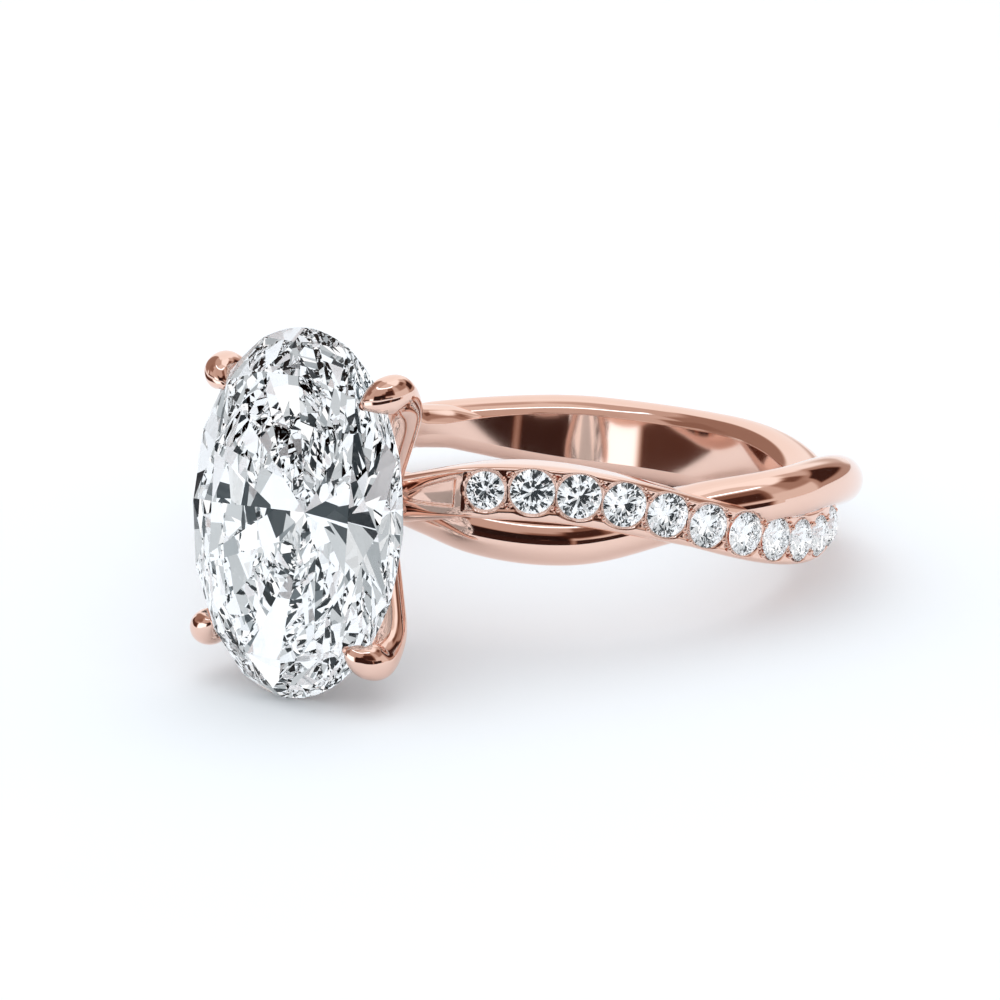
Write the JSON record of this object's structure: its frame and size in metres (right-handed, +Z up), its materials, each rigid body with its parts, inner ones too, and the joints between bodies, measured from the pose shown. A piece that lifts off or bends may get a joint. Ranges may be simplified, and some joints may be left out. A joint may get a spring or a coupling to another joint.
{
  "type": "twisted shank engagement ring",
  "caption": "Ring with a shank of two strands that cross over each other, one set with small stones, and four claws holding an elongated oval stone.",
  "frame": {"origin": "middle of the ring's bounding box, on the floor it rests on", "axes": "+Z up from the floor, -Y towards the head with the oval stone, +X to the right as the stone is faced. The finger hole's axis leans 9.2 degrees from +Z towards +Y, because the ring rests on the tip of the oval stone and on the back of its shank"},
  "size_m": [0.0212, 0.0252, 0.0103],
  "materials": {
    "rose_gold": "polished rose gold",
    "clear_stone": "clear cut diamond, polished facets"
  },
  "bodies": {
    "root": {"ring_mount": "rose_gold", "oval_stone": "clear_stone", "small_stone_right_1": "clear_stone", "small_stone_right_2": "clear_stone", "small_stone_right_3": "clear_stone", "small_stone_right_4": "clear_stone", "small_stone_right_5": "clear_stone", "small_stone_right_6": "clear_stone", "small_stone_right_7": "clear_stone", "small_stone_right_8": "clear_stone", "small_stone_right_9": "clear_stone", "small_stone_right_10": "clear_stone", "small_stone_right_11": "clear_stone", "small_stone_left_1": "clear_stone", "small_stone_left_2": "clear_stone", "small_stone_left_3": "clear_stone", "small_stone_left_4": "clear_stone", "small_stone_left_5": "clear_stone", "small_stone_left_6": "clear_stone", "small_stone_left_7": "clear_stone", "small_stone_left_8": "clear_stone", "small_stone_left_9": "clear_stone", "small_stone_left_10": "clear_stone", "small_stone_left_11": "clear_stone"}
  },
  "joints": []
}
